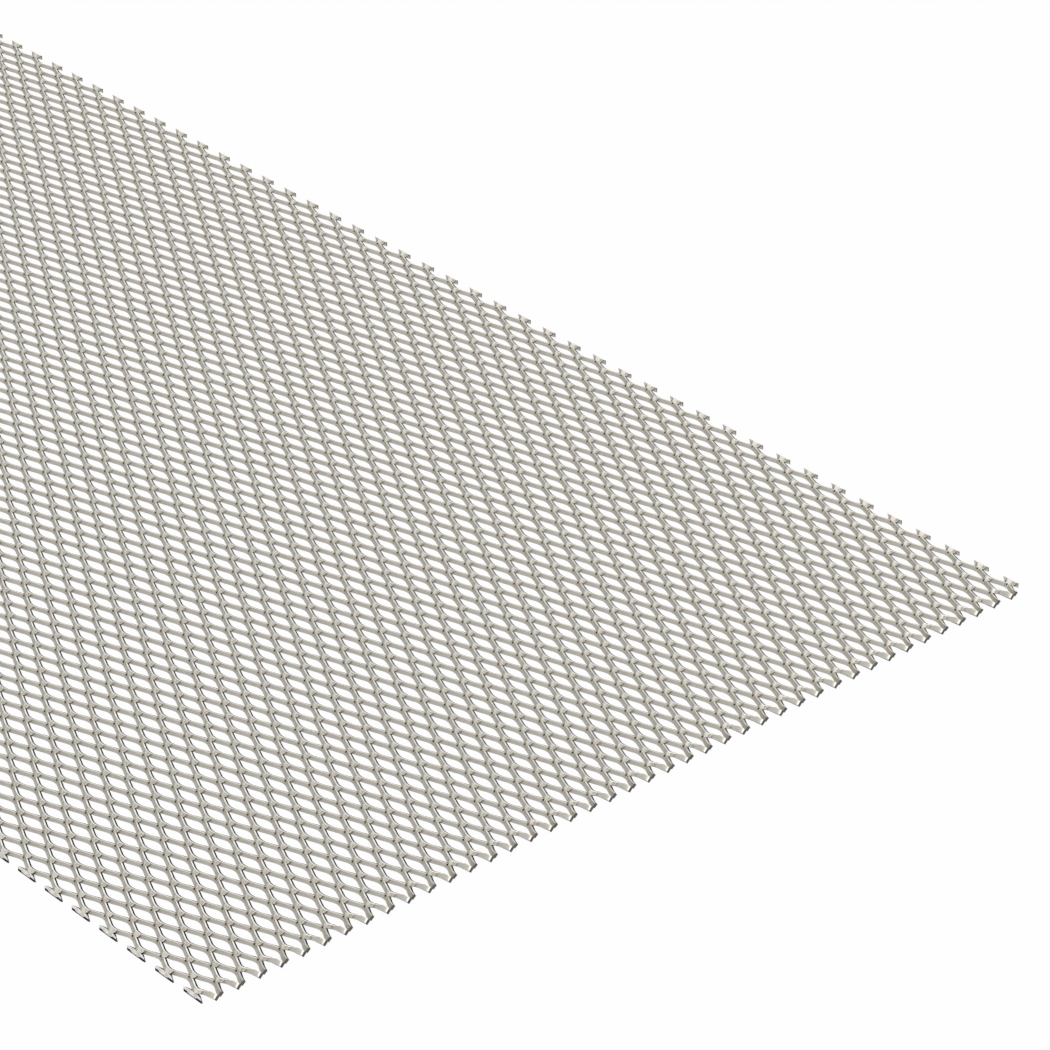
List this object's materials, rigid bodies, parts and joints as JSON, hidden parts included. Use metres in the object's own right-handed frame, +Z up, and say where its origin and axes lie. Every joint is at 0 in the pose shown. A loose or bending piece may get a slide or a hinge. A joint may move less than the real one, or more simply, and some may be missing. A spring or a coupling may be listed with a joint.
{
  "type": "expanded metal sheet",
  "caption": "flat sheet of raised expanded metal: leaning zigzag strands meet at bonds and leave diamond openings, for grilles, guards and screens",
  "frame": {"origin": "centre of the sheet's underside, on the plane that it lies on", "axes": "+X along the long way of the diamonds, +Y across them along the short way, +Z up"},
  "size_m": [0.5, 0.3, 0.003],
  "materials": {
    "bare_metal": "bare mill finish, bright on the sheared edges"
  },
  "bodies": {
    "root": {"odd_rows_1": "bare_metal", "odd_rows_2": "bare_metal", "odd_rows_3": "bare_metal", "odd_rows_4": "bare_metal", "odd_rows_5": "bare_metal", "even_rows_1": "bare_metal", "even_rows_2": "bare_metal", "even_rows_3": "bare_metal", "even_rows_4": "bare_metal", "even_rows_5": "bare_metal", "near_edge_stubs": "bare_metal", "far_edge_stubs": "bare_metal"}
  },
  "joints": []
}
